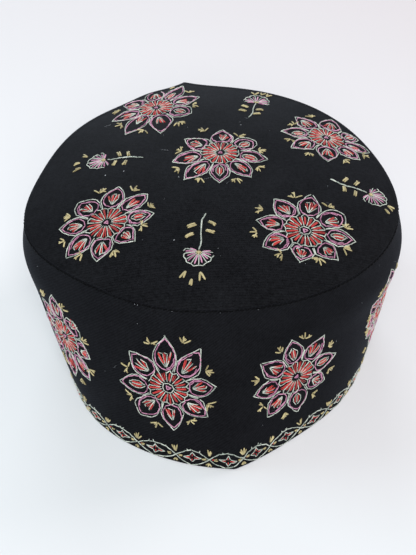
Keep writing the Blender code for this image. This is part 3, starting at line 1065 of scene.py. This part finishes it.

# Seam stitches: dull black floss, tone on tone, just under the seam, long and almost touching, so that their
# near-black line is also a painted shadow in the seam's groove. Lint: a few pale specks and short hairs that
# the nap has caught, with the clearest ones where they show. Each kind has its lengths and its width.
seamStitchAndShadowValues = {"gap": 2.5, "long": 2.2, "below": 0.62, "width": 0.50}
lintValues = {
    "specks": 12, "bandSpecks": 36, "hairs": 8, "seamBelow": 1.0, "lie": 0.12,
    "crownReach": 62, "hairReach": 60, "wallHeights": (14, 84),
    "kinds": {
        "clear": ((0.5, 0.8), 0.5), "seam": ((0.4, 0.7), 0.32), "speck": ((0.3, 0.6), 0.16),
        "bandSpeck": ((0.3, 0.6), 0.15), "hair": ((2.2, 5.5), 0.08),
    },
    "crownSpecks": [(-15.5, -4.5), (12.3, 44.7), (-51.7, -1.0), (-42.9, 1.3), (-13.6, -48.0)],
    "seamSpecks": [-0.343, -0.327, -0.142, 0.105, 0.30],
}


def seamStitchesAndPaintedShadow(book, rng):
    v = seamStitchAndShadowValues
    long = midGirth[-1] - midGirth[0]
    count = int(long / v["gap"])
    x = midGirth[0] + np.arange(count) * long / count
    y = seamLevel(np.interp(x, midGirth, girthPhi)) - v["below"]
    starts = joined(x, y + rng.normal(0, 0.08, count))
    # Long stitches with short gaps: their dull near-black thread is also painted shadow along the seam
    ends = starts + joined(v["long"], rng.normal(0, 0.10, count))
    sew(book, "black", starts, ends, rng, v["width"])


# Strands that lie on the nap at any angle
def lint(book, kind, places, rng):
    lengths, width = lintValues["kinds"][kind]
    places = np.atleast_2d(places)
    turned = polar(rng.uniform(0, 360, len(places)), rng.uniform(*lengths, len(places)) / 2)
    rows = sew(book, "lint", places - turned, places + turned, rng, width)
    rows[:, 5] = lintValues["lie"]


def looseThreads(rng):
    v = lintValues
    seamStitchesAndPaintedShadow(bandBook, rng)
    specks = rng.uniform(-v["crownReach"], v["crownReach"], (v["specks"], 2))
    lint(crownBook, "clear", v["crownSpecks"], rng)
    lint(crownBook, "speck", specks, rng)
    lint(crownBook, "hair", rng.uniform(-v["hairReach"], v["hairReach"], (v["hairs"], 2)), rng)
    phi = np.array(v["seamSpecks"])
    lint(bandBook, "seam", joined(np.interp(phi, girthPhi, midGirth), seamLevel(phi) - v["seamBelow"]), rng)
    girths = rng.uniform(midGirth[0], midGirth[-1], v["bandSpecks"])
    specks = joined(girths, rng.uniform(*v["wallHeights"], v["bandSpecks"]))
    lint(bandBook, "bandSpeck", specks, rng)
    lint(bandBook, "hair", specks[::4] + 6.0, rng)


looseThreads(dice("loose"))

flosses = {}
for colour, (dark, light, lustre) in flossValues["colours"].items():
    flosses[colour] = flossMaterial("cotton_floss_" + colour, dark, light, lustre)
embroidery = [("crown", crownBook, None), ("band", bandBook, midGirth), ("border", rimBook, rimGirth)]
pieceNames = {"black": "_seam_stitches_and_painted_shadow", "lint": "_caught_lint"}
for area, book, girth in embroidery:
    for colour in sorted(book):
        stitches = np.concatenate(book[colour])
        if area == "crown":
            # No stitch runs over the seam
            shares = [crownShare(stitches[:, end], stitches[:, end + 1])[0] for end in (0, 2)]
            stitches = stitches[np.maximum(*shares) < threadWork["seamClear"]]
        name = area + pieceNames.get(colour, "_embroidery_" + colour)
        piece = stitchTubes(name, stitches, girth, flosses[colour])
        print(name, len(stitches), "stitches")

# Floor and light. The studio is bright and even, with pale boards all round, one large light over the front
# and weaker ones behind and at the sides. The floor's colour is painted a little darker and warmer towards
# the
# far right: painted shade and warm light.
studioValues = {
    "floorSize": 6.0, "floorNear": "#d2d4d6", "floorFar": "#c1b7b9", "tint": (-0.10, 0.80),
    "tintAcross": (0.6, 1.0), "floorRoughness": 0.9, "floorSpecular": 0.1,
    "sky": "#ffffff", "skyStrength": 0.38,
    "lights": {
        "front_light": {"place": (0.3, -2.5, 2.1), "size": 1.8, "watts": 126.0, "colour": (0.99, 0.985, 1.0)},
        "side_light": {"place": (-2.7, 0.5, 1.7), "size": 1.6, "watts": 36.0, "colour": (0.70, 0.95, 1.02)},
        "back_light": {"place": (-0.6, 3.2, 1.0), "size": 1.4, "watts": 57.0, "colour": (0.92, 1.0, 1.06)},
        "right_light": {"place": (2.5, 1.6, 1.3), "size": 1.4, "watts": 48.0, "colour": (1.04, 0.98, 1.0)},
    },
}


def studio(v):
    size = v["floorSize"] / 2 / mm
    corners = np.array([[-size, -size, 0], [size, -size, 0], [size, size, 0], [-size, size, 0]])
    floor = putMesh("floor", corners, np.array([[0, 1, 2, 3]]))
    # Matt board, whose tint of painted light and shade runs slantwise across it between two
    # distances in metres
    material, tree = newMaterial("matt_board_painted_light_and_shade")
    place = addNode(tree, "ShaderNodeTexCoord").outputs["Object"]
    options, way = {"operation": "DOT_PRODUCT"}, {1: (*v["tintAcross"], 0.0)}
    across = addNode(tree, "ShaderNodeVectorMath", options, way, {0: place}).outputs["Value"]
    colour = mixColours(tree, stretch(tree, across, *v["tint"]), v["floorNear"], v["floorFar"])
    values = {"Roughness": v["floorRoughness"], "Specular IOR Level": v["floorSpecular"]}
    finishMaterial(tree, values, {"Base Color": colour})
    floor.data.materials.append(material)
    world = bpy.data.worlds.new("studio")
    world.use_nodes = True
    sky = world.node_tree.nodes["Background"]
    sky.inputs["Color"].default_value = hexColour(v["sky"])
    sky.inputs["Strength"].default_value = v["skyStrength"]
    bpy.context.scene.world = world
    for name, light in v["lights"].items():
        data = bpy.data.lights.new(name, "AREA")
        data.size = light["size"]
        data.energy = light["watts"]
        data.color = light["colour"]
        lamp = bpy.data.objects.new(name, data)
        bpy.context.scene.collection.objects.link(lamp)
        place = Matrix.Translation(light["place"])
        aim = -place.to_translation()
        lamp.matrix_world = place @ aim.to_track_quat("-Z", "Y").to_matrix().to_4x4()


studio(studioValues)
bpy.context.scene.view_settings.view_transform = "Standard"
print("studio lit")
